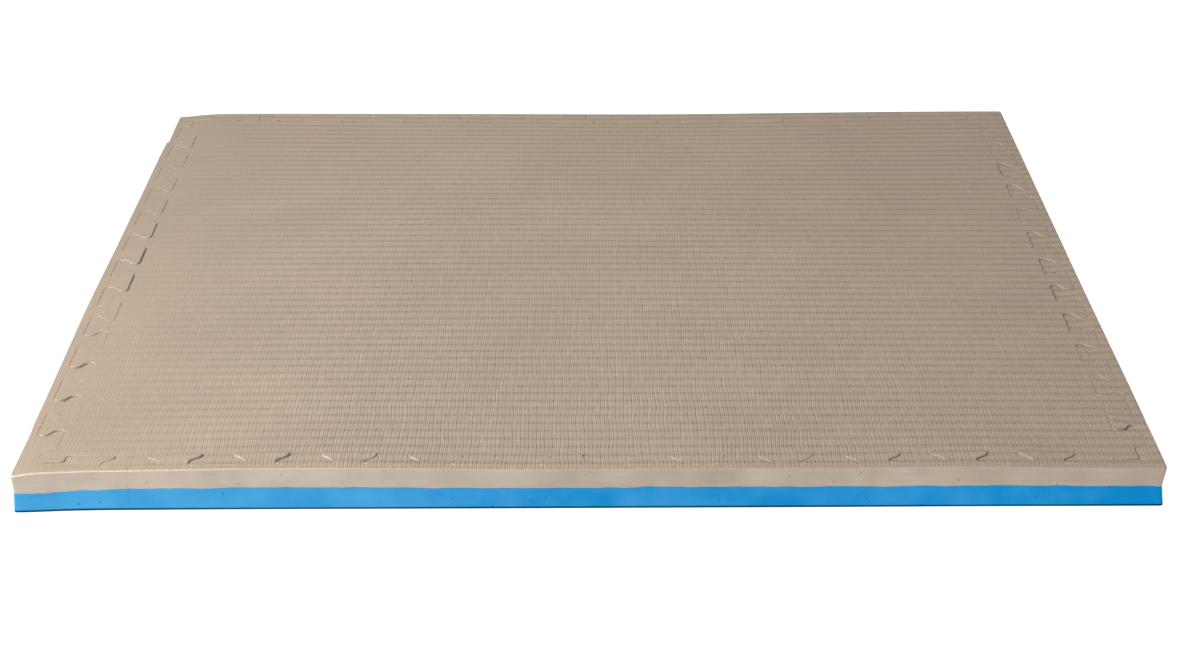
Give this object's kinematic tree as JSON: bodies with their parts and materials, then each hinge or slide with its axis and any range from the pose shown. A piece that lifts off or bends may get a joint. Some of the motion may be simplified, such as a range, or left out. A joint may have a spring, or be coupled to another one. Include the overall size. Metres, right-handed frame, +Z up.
{
  "type": "puzzle mat",
  "caption": "Square foam floor tile for a gym or dojo, tan on top and blue underneath, with a removable jigsaw border that gives it straight edges.",
  "frame": {"origin": "centre of the mat's underside, on the floor", "axes": "+Z up through the thickness, towards the tan face; +X to the right along the front edge and along the rows of the surface pattern; +Y from the front edge to the back"},
  "size_m": [1, 1, 0.038],
  "materials": {
    "tan_foam": "matte embossed skin, tatami pattern",
    "blue_foam": "matte embossed skin, tatami pattern"
  },
  "bodies": {
    "tile": {"tile_top": "tan_foam", "tile_base": "blue_foam"},
    "front_strip": {"front_strip_top": "tan_foam", "front_strip_base": "blue_foam"},
    "right_strip": {"right_strip_top": "tan_foam", "right_strip_base": "blue_foam"},
    "back_strip": {"back_strip_top": "tan_foam", "back_strip_base": "blue_foam"},
    "left_strip": {"left_strip_top": "tan_foam", "left_strip_base": "blue_foam"},
    "front_left_corner": {"front_left_corner_top": "tan_foam", "front_left_corner_base": "blue_foam"},
    "front_right_corner": {"front_right_corner_top": "tan_foam", "front_right_corner_base": "blue_foam"},
    "back_right_corner": {"back_right_corner_top": "tan_foam", "back_right_corner_base": "blue_foam"},
    "back_left_corner": {"back_left_corner_top": "tan_foam", "back_left_corner_base": "blue_foam"}
  },
  "joints": [
    {"name": "front_strip_lift", "type": "slide", "parent": "tile", "child": "front_strip", "axis": [0, 0, 1], "range_m": [0, 0.05]},
    {"name": "right_strip_lift", "type": "slide", "parent": "tile", "child": "right_strip", "axis": [0, 0, 1], "range_m": [0, 0.05]},
    {"name": "back_strip_lift", "type": "slide", "parent": "tile", "child": "back_strip", "axis": [0, 0, 1], "range_m": [0, 0.05]},
    {"name": "left_strip_lift", "type": "slide", "parent": "tile", "child": "left_strip", "axis": [0, 0, 1], "range_m": [0, 0.05]},
    {"name": "front_left_corner_lift", "type": "slide", "parent": "tile", "child": "front_left_corner", "axis": [0, 0, 1], "range_m": [0, 0.05]},
    {"name": "front_right_corner_lift", "type": "slide", "parent": "tile", "child": "front_right_corner", "axis": [0, 0, 1], "range_m": [0, 0.05]},
    {"name": "back_right_corner_lift", "type": "slide", "parent": "tile", "child": "back_right_corner", "axis": [0, 0, 1], "range_m": [0, 0.05]},
    {"name": "back_left_corner_lift", "type": "slide", "parent": "tile", "child": "back_left_corner", "axis": [0, 0, 1], "range_m": [0, 0.05]}
  ]
}
